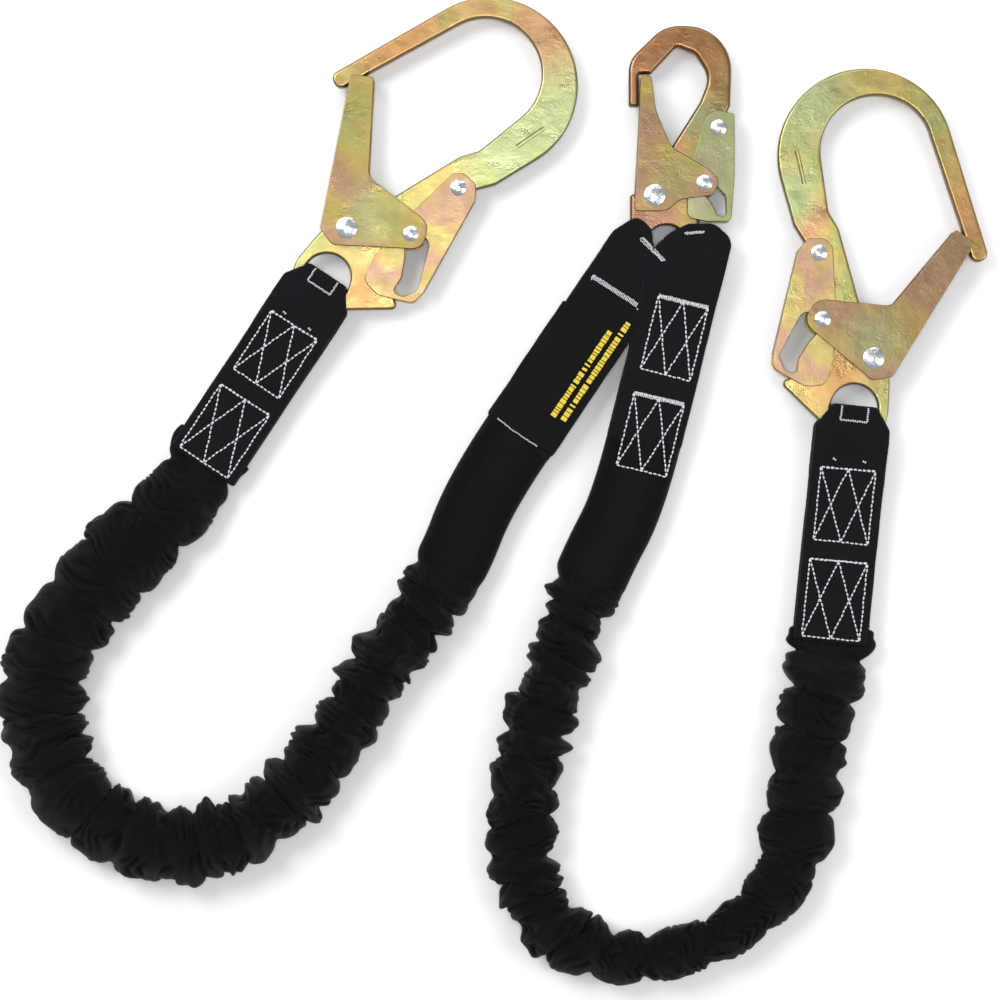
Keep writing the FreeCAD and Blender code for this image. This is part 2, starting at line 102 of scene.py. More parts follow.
# Half-widths of the jackets: (share of the length, metres).
LEFT_WIDTHS = [(0.0, 0.0226), (0.13, 0.0222), (0.17, 0.0185), (0.38, 0.0198), (0.50, 0.0215),
               (0.62, 0.0222), (0.74, 0.0236), (0.84, 0.0250), (0.94, 0.0242), (1.0, 0.0226)]
RIGHT_WIDTHS = [(0.0, 0.0226), (0.14, 0.0222), (0.17, 0.0182), (0.40, 0.0198), (0.50, 0.0172),
                (0.66, 0.0170), (0.76, 0.0192), (0.84, 0.0218), (0.94, 0.0218), (1.0, 0.0226)]
FLAT_HALF = 0.0052        # half-thickness of the flat jacket
PUFF_HALF = 0.0100        # half-thickness of the gathered jacket
FLAT_SQUARE = 0.42        # power of the flat jacket's section: less is squarer
PUFF_SQUARE = 0.30        # what gathering adds to it
RING_STEP = 0.0016        # distance between the rings of a jacket's mesh
RING_POINTS = 56          # points round a ring

# Pleats along each gathered leg: (share of the gathered part, length in metres, depth).
LEFT_PLEATS = [(0.0, 0.014, 1.0), (0.40, 0.017, 1.0), (0.52, 0.026, 0.7), (0.66, 0.019, 0.9),
               (0.80, 0.032, 0.6), (1.0, 0.034, 0.7)]
RIGHT_PLEATS = [(0.0, 0.015, 1.0), (0.42, 0.017, 1.0), (0.50, 0.040, 0.4), (0.66, 0.042, 0.4),
                (0.78, 0.022, 0.9), (1.0, 0.026, 1.0)]
PLEAT_SPREAD = (0.7, 1.35)    # shortest and longest pleat, over the mean
FULL_PLEAT = 0.012        # a shorter pleat stands out less
EDGE_BULGE = 0.0090       # how far a pleat stands out at the jacket's edges, at most
TOP_BULGE = 0.0070        # and above and below
PLEAT_BOXY = 3.2          # how square a pleat is along the leg
SUBFOLD = 0.12            # the wave inside a pleat, as a share of its bulge
VALLEY = 0.0060           # how far the cloth is drawn in between pleats, at the edges
VALLEY_BACK = 0.6         # share of that which each pleat takes back
TOP_VALLEY = 0.0034       # how far it is drawn in above and below
TILT = 0.0060             # how far a pleat slants, at most
LEAN = 0.0030             # how far it leans over the next one
WANDER = 0.0034           # how far its line wanders along the leg
GATHER = 1.50             # cloth length over gathered length
GATHER_RISE = 0.018       # length over which the gathers begin
GATHER_EARLY = 0.3        # share of it that lies on the flat stretch
GATHER_FALL = 0.022       # length over which they end under the hook's webbing
FLAT_START = 0.092        # length at the harness end that is not gathered
OVER_HARNESS = 0.008      # how far the jacket's cloth covers the sewn webbing
UNDER_HOOK = 0.014        # how far it runs up under the webbing at the hook
UNDER_DROP = 0.0014       # how much thinner it is there
WRINKLE_PITCH = 0.0100    # finer folds, measured along the cloth
WRINKLE_DEPTH = 0.0028    # height of those folds, at most
WRINKLE_DRIFT = 1.6       # how far a fold wanders, in pitches
WRINKLE_POWER = 0.7       # under 1 keeps the crests round and the valleys sharp
WRINKLE_LEVEL = 0.75      # share of the depth that is pressed in

CLOTH_SWELL = 1.04        # the cloth's own girth over its girth in place
SIM_SCALE = 20.0          # the cloth is simulated this much larger
SIM_FRAMES = 22
SIM_CAP = 0.0016          # how far the cloth may move from its starting shape
SIM_TABLE = 0.0004        # height of the table under the simulated cloth
SIM_TABLE_HALF = 30.0     # its half-width, scaled
FREE_CLOTH = 0.98         # gathered more than this, a ring is not held
HELD_RINGS = 2            # rings at each end that are held fully
CORE_HALF = 0.0125        # half-width of the core that the cloth rests on
CORE_THIN = 0.0042        # its half-thickness
CORE_SECTION = ((-1, 0), (-0.8, 1), (0.8, 1), (1, 0), (0.8, -1), (-0.8, -1))
TABLE_GAP = 0.0003        # lowest that any cloth lies

# Sewn ends: where each strap ends, and the label's place.
LEFT_TOP_END, LEFT_HOOK_END = LEFT_ROUTE[0], LEFT_ROUTE[-1]
RIGHT_TOP_END, RIGHT_HOOK_END = RIGHT_ROUTE[0], RIGHT_ROUTE[-1]
STRAP_VOXEL = 0.0008      # fineness of a strap's mesh
STRAP_SOFTEN = 6          # rounds of smoothing
STRAP_SWELL = 0.0007      # rises and dips of the webbing, at most
LAYER_PITCH = 0.0025      # thickness of one layer of webbing
LAYER_DEPTH = 0.00022     # how deep the lines between layers are
LAP_LINE = [(-0.0047, -0.0733), (0.0097, -0.0185)]    # the right top strap's edge on the left
LAP_REACH = 0.005         # width of the strap that is drawn over
LAP_PUSH = 0.0021
LAP_FADE = 0.006

LABEL_TOP = (-0.0260, -0.0637)
LABEL_END = (-0.0720, -0.1319)
LABEL_HALF = 0.0237
LABEL_THIN = 0.0062
LABEL_SQUARE = 0.24
LABEL_STEP = 0.0015
LABEL_RIPPLE = 0.00045
HEM_NARROW = 0.0004       # how much narrower the label's first and last rings are
HEM_THIN = 0.0009 / 0.0064    # and how much thinner, as a share
FLAP_REACH = 0.021        # how far the label's top flap reaches up the webbing
FLAP_LAP = 0.004          # how far it lies over the sleeve
FLAP_INSET = 0.0022
FLAP_CLEAR = 0.00025
FLAP_THICK = 0.0006
FLAP_ROWS, FLAP_COLUMNS = 26, 40
MARK_TALL = 0.0036
MARK_LENGTHS = (0.0012, 0.0017, 0.0022, 0.0026)
MARK_TOP, MARK_BOTTOM = 0.00013, -0.0003
MARK_GAP, WORD_GAP = 0.0005, 0.0016
MARK_ROWS = ((0.0103, 0.0, 0.0626), (0.0167, -0.0105, 0.0608))    # across, from, to
SKY = 0.05                # height from which points are dropped on the cloth

STITCH_PITCH = 0.0028     # distance between stitches
STITCH_COVER = 0.90       # share of the pitch that shows as thread
STITCH_RADIUS = 0.00046   # of the thread
STITCH_WOBBLE = 0.00022
STITCH_SIDES = 6
STITCH_FLAT = 0.85        # height of a stitch over its width
# Along a stitch: (share of its length, thickness in radii, height over the cloth in radii).
STITCH_SHAPE = ((0.0, 0.45, -0.7), (0.2, 0.95, 0.25), (0.5, 1.1, 0.6), (0.8, 0.95, 0.25),
                (1.0, 0.45, -0.7))
TACK_PITCH = 0.0011       # dense stitches of the tacks and the doubled seams

VIEW_WIDTH = 0.605
VIEW_SHIFT = (0.0035, -0.0018)
FLOOR_HALF = 6.0


# ---- small helpers ----
def linked(name, data):
    made = bpy.data.objects.new(name, data)
    bpy.context.scene.collection.objects.link(made)
    return made


def mesh_from(name, points, faces):
    data = bpy.data.meshes.new(name)
    data.from_pydata([tuple(p) for p in points], [], faces)
    data.update()
    return data


def shade_smooth(data):
    data.polygons.foreach_set("use_smooth", [True] * len(data.polygons))
    data.update()


def finished(source, name):
    """A new object whose mesh is the source's with its modifiers applied. Removes the source."""
    depsgraph = bpy.context.evaluated_depsgraph_get()
    data = bpy.data.meshes.new_from_object(source.evaluated_get(depsgraph))
    old = source.data
    bpy.data.objects.remove(source)
    bpy.data.meshes.remove(old)
    data.name = name
    shade_smooth(data)
    return linked(name, data)


def smoothstep(x):
    x = max(0.0, min(1.0, x))
    return x * x * (3 - 2 * x)


# ---- camera, light and floor ----
def add_camera():
    """Straight above the middle of the object, as wide as its longer side."""
    data = bpy.data.cameras.new("camera")
    data.lens = 100
    data.sensor_width = 36
    camera = linked("camera", data)
    middle = (CAD_BOX[0] + CAD_BOX[1]) / 2
    distance = VIEW_WIDTH * data.lens / data.sensor_width
    camera.location = (middle.x + VIEW_SHIFT[0], middle.y + VIEW_SHIFT[1],
                       distance + JACKET_MID)
    bpy.context.scene.camera = camera


def add_area(name, place, target, size, power):
    data = bpy.data.lights.new(name, "AREA")
    data.shape = "RECTANGLE"
    data.size, data.size_y = size
    data.energy = power
    lamp = linked(name, data)
    lamp.location = place
    aim = Vector(target) - Vector(place)
    lamp.rotation_euler = aim.to_track_quat("-Z", "Y").to_euler()


def level_sheet(name, half, height):
    corners = [(-half, -half, height), (half, -half, height), (half, half, height),
               (-half, half, height)]
    return linked(name, mesh_from(name, corners, [(0, 1, 2, 3)]))


def add_studio():
    """A pale floor under plain soft light."""
    scene = bpy.context.scene
    world = bpy.data.worlds.new("studio")
    world.use_nodes = True
    backdrop = world.node_tree.nodes["Background"]
    backdrop.inputs["Color"].default_value = (0.93, 0.95, 1.0, 1.0)
    backdrop.inputs["Strength"].default_value = 0.42
    scene.world = world
    scene.view_settings.view_transform = "Standard"
    middle = (CAD_BOX[0] + CAD_BOX[1]) / 2
    add_area("key", (middle.x - 1.1, middle.y + 0.9, 1.5), middle, (1.0, 1.0), 25)
    add_area("fill", (middle.x + 1.4, middle.y - 0.3, 1.2), middle, (0.8, 1.4), 11)
    add_area("top", (middle.x + 0.1, middle.y + 1.5, 0.9), middle, (1.6, 0.5), 9)
    add_area("overhead", (middle.x, middle.y, 1.9), middle, (0.4, 0.4), 9)
    floor = level_sheet("floor", FLOOR_HALF, 0)
    material, shader = new_material("floor_paper")
    shader.inputs["Base Color"].default_value = (0.92, 0.92, 0.92, 1)
    shader.inputs["Roughness"].default_value = 0.9
    floor.data.materials.append(material)


# ---- materials ----
def new_material(name):
    material = bpy.data.materials.new(name)
    material.use_nodes = True
    return material, material.node_tree.nodes["Principled BSDF"]


def give(material, socket, value):
    """Links a socket to another, or sets its value."""
    if isinstance(value, bpy.types.NodeSocket):
        material.node_tree.links.new(value, socket)
    else:
        socket.default_value = value


def node(material, kind, inputs=(), **settings):
    """A shader node with its settings, and its inputs given as values or as other sockets."""
    made = material.node_tree.nodes.new("ShaderNode" + kind)
    for key, value in settings.items():
        setattr(made, key, value)
    for key, value in dict(inputs).items():
        give(material, made.inputs[key], value)
    return made


def ramp(material, factor, stops):
    """A colour ramp whose stops are (position, colour)."""
    made = node(material, "ValToRGB", {"Fac": factor})
    band = made.color_ramp
    while len(band.elements) < len(stops):
        band.elements.new(0.5)
    for stop, (position, colour) in zip(band.elements, stops):
        stop.position = position
        stop.color = (*colour, 1)
    return made.outputs["Color"]


def mixed(material, factor, first, second, blend="MIX"):
    """A colour mix. A Mix node's colour sockets are its inputs 6 and 7 and its output 2."""
    made = node(material, "Mix", {"Factor": factor}, data_type="RGBA", blend_type=blend)
    give(material, made.inputs[6], first)
    give(material, made.inputs[7], second)
    return made.outputs[2]


def noise_factor(material, place, scale, detail=2.0, distortion=0.0):
    return node(material, "TexNoise", {
        "Vector": place, "Scale": scale, "Detail": detail, "Distortion": distortion,
    }).outputs["Fac"]


def ranged(material, value, from_low, from_high, to_low, to_high):
    return node(material, "MapRange", {
        "Value": value, "From Min": from_low, "From Max": from_high,
        "To Min": to_low, "To Max": to_high}).outputs["Result"]


def bumped(material, height, distance, strength=1.0, normal=None):
    inputs = {"Height": height, "Strength": strength, "Distance": distance}
    if normal is not None:
        inputs["Normal"] = normal
    return node(material, "Bump", inputs).outputs["Normal"]


def maths(material, operation, first, second=0.0):
    return node(material, "Math", {0: first, 1: second}, operation=operation).outputs["Value"]


def toned_by(painted_shade, colour):
    """A colour times a painted shade factor, part by part."""
    return tuple(part * share for part, share in zip(colour, painted_shade))


def plated_material(name, stops, edge, offset, roughness, spots, painted_shade):
    """Yellow zinc plate on steel: drifting patches of colour, painted shade on the side faces,
    fine grain.
    Each spot is (centre, reach, colour)."""
    material, shader = new_material(name)
    # Painted shade: every colour of this plating, the spots' too, is darkened by the part's own
    # factor.
    stops = [(at, toned_by(painted_shade, colour)) for at, colour in stops]
    unmoved = node(material, "TexCoord").outputs["Object"]
    place = node(material, "Mapping", {
        "Vector": unmoved, "Location": (offset, -offset, 0)}).outputs["Vector"]
    patches = noise_factor(material, place, scale=15.0, detail=2.5, distortion=0.7)
    tint = ramp(material, patches, stops)
    speckle = ramp(material, noise_factor(material, place, scale=260.0, detail=5.0),
                   [(0.30, (0.70, 0.68, 0.62)), (0.65, (1.0, 1.0, 1.0))])
    for centre, reach, colour in spots:
        away = node(material, "VectorMath", {0: unmoved, 1: (*centre, MID)},
                    operation="DISTANCE").outputs["Value"]
        waver = ranged(material, patches, 0.3, 0.7, -0.25 * reach, 0.25 * reach)
        distance = maths(material, "ADD", away, waver)
        near = ranged(material, distance, reach, 0.25 * reach, 0.0, 0.85)
        tint = mixed(material, near, tint, (*toned_by(painted_shade, colour), 1))
    toned = mixed(material, 0.35, tint, speckle, "MULTIPLY")
    # Painted shade: faces that turn away from straight up are coloured towards the dark edge
    # colour.
    normal = node(material, "NewGeometry").outputs["Normal"]
    height = node(material, "SeparateXYZ", {"Vector": normal}).outputs["Z"]
    upright = maths(material, "ABSOLUTE", height)
    side = ranged(material, upright, 0.985, 0.55, 0.0, 1.0)
    give(material, shader.inputs["Base Color"], mixed(material, side, toned, (*edge, 1)))
    shader.inputs["Metallic"].default_value = 0.9
    worn = noise_factor(material, place, scale=70.0, detail=6.0)
    give(material, shader.inputs["Roughness"],
         ranged(material, worn, 0.3, 0.7, roughness - 0.07, roughness + 0.13))
    grain = noise_factor(material, place, scale=1100.0, detail=3.0)
    fine = bumped(material, grain, distance=0.0002, strength=0.5)
    rolled = noise_factor(material, place, scale=55.0, detail=3.0)
    give(material, shader.inputs["Normal"],
         bumped(material, rolled, distance=0.0012, strength=0.5, normal=fine))
    return material


def zinc_material(name, colour, roughness):
    """Bright zinc plate, slightly dented and smeared by the rivet tool."""
    material, shader = new_material(name)
    place = node(material, "TexCoord").outputs["Object"]
    stain = noise_factor(material, place, scale=320.0, detail=4.0, distortion=0.8)
    darker = tuple(0.55 * part for part in colour)
    give(material, shader.inputs["Base Color"],
         ramp(material, stain, [(0.32, darker), (0.55, colour)]))
    shader.inputs["Metallic"].default_value = 1.0
    give(material, shader.inputs["Roughness"],
         ranged(material, stain, 0.3, 0.7, roughness + 0.14, roughness))
    dents = noise_factor(material, place, scale=420.0, detail=2.0)
    give(material, shader.inputs["Normal"],
         bumped(material, dents, distance=0.0006, strength=0.6))
    return material


def woven_material(name, colour, rib, across_rib, depth, roughness, sheen):
    """Black synthetic cloth. Its UV map is in metres: U along the leg, V across it."""
    material, shader = new_material(name)
    weave = node(material, "UVMap", uv_map="weave").outputs["UV"]
    split = node(material, "SeparateXYZ", {"Vector": weave})
    along, across = split.outputs["X"], split.outputs["Y"]
    lift = maths(material, "MULTIPLY", across, 2 * math.pi / across_rib)
    phase = maths(material, "MULTIPLY", along, 2 * math.pi / rib)
    twill = maths(material, "SINE", maths(material, "ADD", phase, lift))
    cross_phase = maths(material, "MULTIPLY", across, 2 * math.pi / (across_rib * 0.5))
    height = maths(material, "ADD", twill, maths(material, "SINE", cross_phase))
    place = node(material, "TexCoord").outputs["Object"]
    worn = noise_factor(material, place, scale=40.0, detail=5.0)
    lighter = tuple(1.5 * part for part in colour)
    shade = ramp(material, worn, [(0.35, colour), (0.75, lighter)])
    # Painted highlight: the weave's raised ribs are coloured lighter, up to half way to a brighter
    # black.
    rib_highlight = ranged(material, height, -2.0, 2.0, 0.0, 0.5)
    give(material, shader.inputs["Base Color"],
         mixed(material, rib_highlight, shade, (*[1.8 * part for part in colour], 1)))
    shader.inputs["Roughness"].default_value = roughness
    shader.inputs["Sheen Weight"].default_value = sheen
    shader.inputs["Sheen Roughness"].default_value = 0.45
    shader.inputs["Specular IOR Level"].default_value = 0.12
    fibres = noise_factor(material, place, scale=900.0, detail=4.0)
    fuzz = bumped(material, fibres, distance=0.0003, strength=0.5)
    give(material, shader.inputs["Normal"],
         bumped(material, height, distance=depth, strength=0.8, normal=fuzz))
    return material


def thread_material(name, colour):
    """Twisted sewing thread."""
    material, shader = new_material(name)
    place = node(material, "TexCoord").outputs["Object"]
    strands = noise_factor(material, place, scale=1500.0, detail=3.0)
    soiled = tuple(0.62 * part for part in colour)
    give(material, shader.inputs["Base Color"],
         ramp(material, strands, [(0.3, soiled), (0.6, colour)]))
    shader.inputs["Roughness"].default_value = 0.65
    shader.inputs["Sheen Weight"].default_value = 0.3
    give(material, shader.inputs["Normal"],
         bumped(material, strands, distance=0.0004, strength=0.6))
    return material


# ---- routes ----
def route_points(name, route):
    """The smooth line through a jacket: a NURBS spline whose control points are the route."""
    data = bpy.data.curves.new(name, "CURVE")
    data.dimensions = "3D"
    data.resolution_u = 24
    spline = data.splines.new("NURBS")
    spline.points.add(len(route) - 1)
    last = len(route) - 1
    for index, (x, y) in enumerate(route):
        height = MID if index in (0, 1, last) else JACKET_MID
        spline.points[index].co = (x, y, height, 1.0)
    spline.order_u = 3
    spline.use_endpoint_u = True
    holder = linked(name, data)
    bpy.context.view_layer.update()
    line = bpy.data.meshes.new_from_object(holder)
    points = np.array([v.co for v in line.vertices])
    bpy.data.meshes.remove(line)
    bpy.data.objects.remove(holder)
    bpy.data.curves.remove(data)
    return points


def spaced(points, step):
    """The same line in equal steps, with the distance from its start."""
    lengths = np.concatenate([[0], np.cumsum(np.linalg.norm(np.diff(points, axis=0), axis=1))])
    count = int(round(lengths[-1] / step)) + 1
    at = np.linspace(0, lengths[-1], count)
    return at, np.stack([np.interp(at, lengths, points[:, axis]) for axis in range(3)], axis=1)


def sideways(points):
    """Level unit vectors square to a line, pointing to its left."""
    ahead = np.gradient(points, axis=0)
    kernel = np.ones(5) / 5
    padded = np.pad(ahead, ((2, 2), (0, 0)), mode="edge")
    ahead = np.stack([np.convolve(padded[:, axis], kernel, "valid") for axis in range(3)], axis=1)
    side = np.stack([-ahead[:, 1], ahead[:, 0], np.zeros(len(points))], axis=1)
    return side / np.linalg.norm(side, axis=1)[:, None]


# ---- jackets ----
def pleat_table(first, last, pleats, seed):
    """Where the pleats of a gathered leg begin, and each one's bulges: to the left, to the right,
    above and below, its tilt, its lean and the phase of its finer folds."""
    dice = random.Random(seed)
    bounds, shapes = [first], []
    stations, lengths, depths = zip(*pleats)
    while bounds[-1] < last:
        share = (bounds[-1] - first) / (last - first)
        mean = float(np.interp(share, stations, lengths))
        depth = float(np.interp(share, stations, depths))
        bounds.append(bounds[-1] + mean * dice.uniform(*PLEAT_SPREAD))
        size = depth * min(1.0, (bounds[-1] - bounds[-2]) / FULL_PLEAT)
        shapes.append((
            size * dice.uniform(0.3, 1.0) * EDGE_BULGE, size * dice.uniform(0.3, 1.0) * EDGE_BULGE,
            size * dice.uniform(0.45, 1.0) * TOP_BULGE, dice.uniform(-1, 1) * TILT,
            dice.uniform(-1, 1) * LEAN, dice.uniform(0, 2 * math.pi)))
    return np.array(bounds), np.array(shapes)


def superellipse(angle, power):
    """Points of a round-cornered section of half-width and half-height 1."""
    across = np.sign(np.cos(angle)) * np.abs(np.cos(angle)) ** power
    up = np.sign(np.sin(angle)) * np.abs(np.sin(angle)) ** power
    return across, up


def lengthened(at, centres, before, after):
    """The line's points with level, straight runs added at its ends."""
    for distance, end in ((before, 0), (after, -1)):
        count = int(round(distance / RING_STEP))
        steps = RING_STEP * np.arange(1, count + 1)
        inner = centres[4] if end == 0 else centres[-5]
        run = centres[end] - inner
        run[2] = 0
        run /= np.linalg.norm(run)
        more = centres[end] + run * steps[:, None]
        if end == 0:
            centres = np.concatenate([more[::-1], centres])
            at = np.concatenate([-steps[::-1], at])
        else:
            centres = np.concatenate([centres, more])
            at = np.concatenate([at, at[-1] + steps])
    return at, centres


def jacket_rings(route, widths, pleats, seed):
    """The jacket before its cloth is simulated: rings of points, the same rings laid out to
    the cloth's own length, the centre line's points, and how much each ring is gathered."""
    at, centres = spaced(route, RING_STEP)
    length = at[-1]
    at, centres = lengthened(at, centres, OVER_HARNESS, UNDER_HOOK)
    sides = sideways(centres)
    ahead = np.stack([sides[:, 1], -sides[:, 0], 0 * sides[:, 0]], axis=1)
    bounds, shapes = pleat_table(FLAT_START, length + UNDER_HOOK, pleats, seed)
    shares, halves = zip(*widths)
    angle = 2 * math.pi * np.arange(RING_POINTS) / RING_POINTS
    tilts = np.interp(at, (bounds[:-1] + bounds[1:]) / 2, shapes[:, 3])
    rings, flat_rings, gathered = [], [], []
    cloth_at = 0.0
    for index, (s, centre, side, forward) in enumerate(zip(at, centres, sides, ahead)):
        pleated = smoothstep((s - FLAT_START) / GATHER_RISE + GATHER_EARLY)
        thin = smoothstep((length - s) / GATHER_FALL)
        strength = pleated * thin
        half = float(np.interp(s / length, shares, halves))
        puff = FLAT_HALF + (PUFF_HALF - FLAT_HALF) * strength - UNDER_DROP * pleated * (1 - thin)
        middle = MID + (JACKET_MID - MID) * strength
        if index:
            cloth_at += RING_STEP * (1 + (GATHER - 1) * strength)
        across, up = superellipse(angle, FLAT_SQUARE + PUFF_SQUARE * strength)
        wander = np.array([noise.noise(Vector((s * 45, 1.3 * a, 1.3 * b + seed)))
                           for a, b in zip(np.cos(angle), np.sin(angle))])
        place = s + tilts[index] * across + WANDER * wander * (1 - 0.9 * across ** 2)
        slot = np.clip(np.searchsorted(bounds, place) - 1, 0, len(shapes) - 1)
        left, right, top, _, lean, phase = shapes[slot].T
        u = np.clip((place - bounds[slot]) / (bounds[slot + 1] - bounds[slot]), 0, 1)
        lobe = np.sqrt(1 - np.abs(2 * u - 1) ** PLEAT_BOXY)
        inner = SUBFOLD * np.sin(3 * math.pi * u + phase) * np.sin(math.pi * u)
        bulge = (lobe + inner) * pleated
        edge = np.where(across > 0, left, right)
        wide = half - VALLEY * pleated + (edge + VALLEY * VALLEY_BACK) * bulge
        high = puff - TOP_VALLEY * strength + top * bulge * thin
        drop = lean * bulge * (0.4 + 0.6 * np.abs(across))
        rings.append(centre + side * (wide * across)[:, None] + forward * drop[:, None]
                     + np.array((0, 0, 1)) * (middle - centre[2] + high * up)[:, None])
        flat_rings.append(np.stack([CLOTH_SWELL * half * across, np.full(RING_POINTS, cloth_at),
                                    CLOTH_SWELL * puff * up], axis=1))
        gathered.append(strength)
    return np.array(rings), np.array(flat_rings), centres, np.array(gathered)


def tube_faces(base, rings, around, capped=True):
    """Faces of a tube through rings of points, the first ring starting at point base."""
    last = base + (rings - 1) * around
    faces = []
    for ring in range(base, last, around):
        for k in range(around):
            a, b = ring + k, ring + (k + 1) % around
            faces.append((a, b, b + around, a + around))
    if capped:
        faces += [tuple(range(base, base + around))[::-1], tuple(range(last, last + around))]
    return faces


def tube_mesh(name, rings, flat_rings):
    """A closed tube through the rings, with a weave UV map in metres."""
    count, around = rings.shape[:2]
    data = mesh_from(name, rings.reshape(-1, 3), tube_faces(0, count, around))
    layer = data.uv_layers.new(name="weave")
    steps = np.linalg.norm(np.roll(flat_rings, -1, axis=1) - flat_rings, axis=2).mean(axis=0)
    girth = np.concatenate([[0], np.cumsum(steps)])
    cloth_at = flat_rings.reshape(-1, 3)[:, 1]
    for polygon in data.polygons:
        wraps = {v % around for v in polygon.vertices} == {0, around - 1}
        for loop in polygon.loop_indices:
            vertex = data.loops[loop].vertex_index
            k = vertex % around
            v = girth[around] if wraps and k == 0 else girth[k]
            layer.data[loop].uv = (cloth_at[vertex], v)
    return data


def simulate(data, flat_rings, centres, sides, gathered):
    """Lets the jacket's cloth, which is longer than its place, find its own folds. Returns the
    points. The ends and the flat stretch are held, and a core and the table stop the cloth."""
    start = np.empty(len(data.vertices) * 3)
    data.vertices.foreach_get("co", start)
    start = start.reshape(-1, 3)
    origin = start.mean(axis=0)
    body = linked("cloth", data.copy())
    body.data.vertices.foreach_set("co", ((start - origin) * SIM_SCALE).ravel())
    body.shape_key_add(name="Basis")
    rest = body.shape_key_add(name="rest", from_mix=False)
    rest.data.foreach_set("co", (flat_rings.reshape(-1, 3) * SIM_SCALE).ravel())
    rest.value = 0.0
    pins = body.vertex_groups.new(name="pins")
    for ring, strength in enumerate(gathered):
        hold = 1.0 - strength if strength < FREE_CLOTH else 0.0
        if not HELD_RINGS <= ring < len(gathered) - HELD_RINGS:
            hold = 1.0
        if hold > 0:
            first = ring * RING_POINTS
            pins.add(list(range(first, first + RING_POINTS)), hold, "REPLACE")
    cloth = body.modifiers.new("Cloth", "CLOTH")
    settings = cloth.settings
    settings.quality = 8
    settings.mass = 0.25
    settings.tension_stiffness = 60
    settings.compression_stiffness = 50
    settings.shear_stiffness = 8
    settings.bending_stiffness = 1.5
    settings.tension_damping = 5
    settings.compression_damping = 5
    settings.vertex_group_mass = "pins"
    settings.pin_stiffness = 4.0
    settings.rest_shape_key = rest
    settings.use_pressure = True
    settings.uniform_pressure_force = 0.4
    settings.effector_weights.gravity = 0
    cloth.collision_settings.distance_min = 0.008
    cloth.collision_settings.collision_quality = 3
    cloth.point_cache.frame_start = 1
    cloth.point_cache.frame_end = SIM_FRAMES

    core = []
    for centre, side in zip(centres, sides):
        for across, up in CORE_SECTION:
            place = centre + side * (CORE_HALF * across) + np.array((0, 0, CORE_THIN * up))
            core.append((place - origin) * SIM_SCALE)
    faces = tube_faces(0, len(centres), len(CORE_SECTION), capped=False)
    stops = [linked("core", mesh_from("core", core, faces))]
    stops.append(level_sheet("table", SIM_TABLE_HALF, (SIM_TABLE - origin[2]) * SIM_SCALE))
    for stop in stops:
        stop.modifiers.new("Collision", "COLLISION")
        stop.collision.thickness_outer = 0.006
    scene = bpy.context.scene
    scene.frame_start, scene.frame_end = 1, SIM_FRAMES
    for step in range(1, SIM_FRAMES + 1):
        scene.frame_set(step)
    settled = body.evaluated_get(bpy.context.evaluated_depsgraph_get())
    moved = np.array([v.co for v in settled.data.vertices]) / SIM_SCALE + origin
    for made in [body, *stops]:
        mesh = made.data
        bpy.data.objects.remove(made)
        bpy.data.meshes.remove(mesh)
    scene.frame_set(1)
    shift = moved - start
    far = np.linalg.norm(shift, axis=1, keepdims=True)
    return start + shift * np.minimum(1, SIM_CAP / np.maximum(far, 1e-9))


def wrinkle(data, flat_rings, gathered, seed):
    """Presses finer folds into the gathered cloth, across the leg, with sharp valleys."""
    count = len(data.vertices)
    uv = np.empty(len(data.loops) * 2)
    data.uv_layers["weave"].data.foreach_get("uv", uv)
    corner = np.empty(len(data.loops), dtype=int)
    data.loops.foreach_get("vertex_index", corner)
    spot = np.zeros((count, 2))
    spot[corner] = uv.reshape(-1, 2)
    turn = 2 * math.pi * spot[:, 1] / spot[:, 1].max()
    strength = np.interp(spot[:, 0], flat_rings[:, 0, 1], gathered)
    points, normals = np.empty(count * 3), np.empty(count * 3)
    data.vertices.foreach_get("co", points)
    data.vertices.foreach_get("normal", normals)
    depth = np.zeros(count)
    for index in np.nonzero(strength > 0.02)[0]:
        along, a, b = spot[index, 0], math.cos(turn[index]), math.sin(turn[index])
        drift = noise.noise(Vector((along * 38, 1.1 * a, 1.1 * b + seed)))
        patch = noise.noise(Vector((along * 60, 1.6 * a + 7, 1.6 * b + seed)))
        turns = along / WRINKLE_PITCH + WRINKLE_DRIFT * drift
        ridge = abs(math.sin(math.pi * turns)) ** WRINKLE_POWER
        depth[index] = (ridge - WRINKLE_LEVEL) * max(0.0, 0.45 + 1.5 * patch)
    shift = (depth * strength * WRINKLE_DEPTH)[:, None] * normals.reshape(-1, 3)
    moved = points.reshape(-1, 3) + shift
    moved[:, 2] = np.maximum(moved[:, 2], TABLE_GAP)
    data.vertices.foreach_set("co", moved.ravel())
    data.update()


def add_jacket(name, nodes, route, widths, pleats, seed, material):
    """One leg's gathered cloth round its core, along its route."""
    line = route_points(name + "_route", route)
    rings, flat_rings, centres, gathered = jacket_rings(line, widths, pleats, seed)
    data = tube_mesh(name + "_mesh", rings, flat_rings)
    points = simulate(data, flat_rings, centres, sideways(centres), gathered)
    points[:, 2] = np.maximum(points[:, 2], TABLE_GAP)
    data.vertices.foreach_set("co", points.ravel())
    data.update()
    coarse = linked(name + "_coarse", data)
    coarse.modifiers.new("Smooth", "SUBSURF").levels = 1
    jacket = finished(coarse, name)
    wrinkle(jacket.data, flat_rings, gathered, seed)
    jacket.data.materials.append(material)
    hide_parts(*nodes)
    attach(jacket, "lanyard")
    return jacket


# ---- sewn ends ----
def strap_uv(data, start, along):
    """A weave map in metres for a strap: U runs along it and V across it."""
    layer = data.uv_layers.new(name="weave")
    side = Vector((-along.y, along.x, 0))
    for loop in data.loops:
        spot = data.vertices[loop.vertex_index].co - start
        layer.data[loop.index].uv = (spot.dot(along), spot.dot(side) + spot.z)


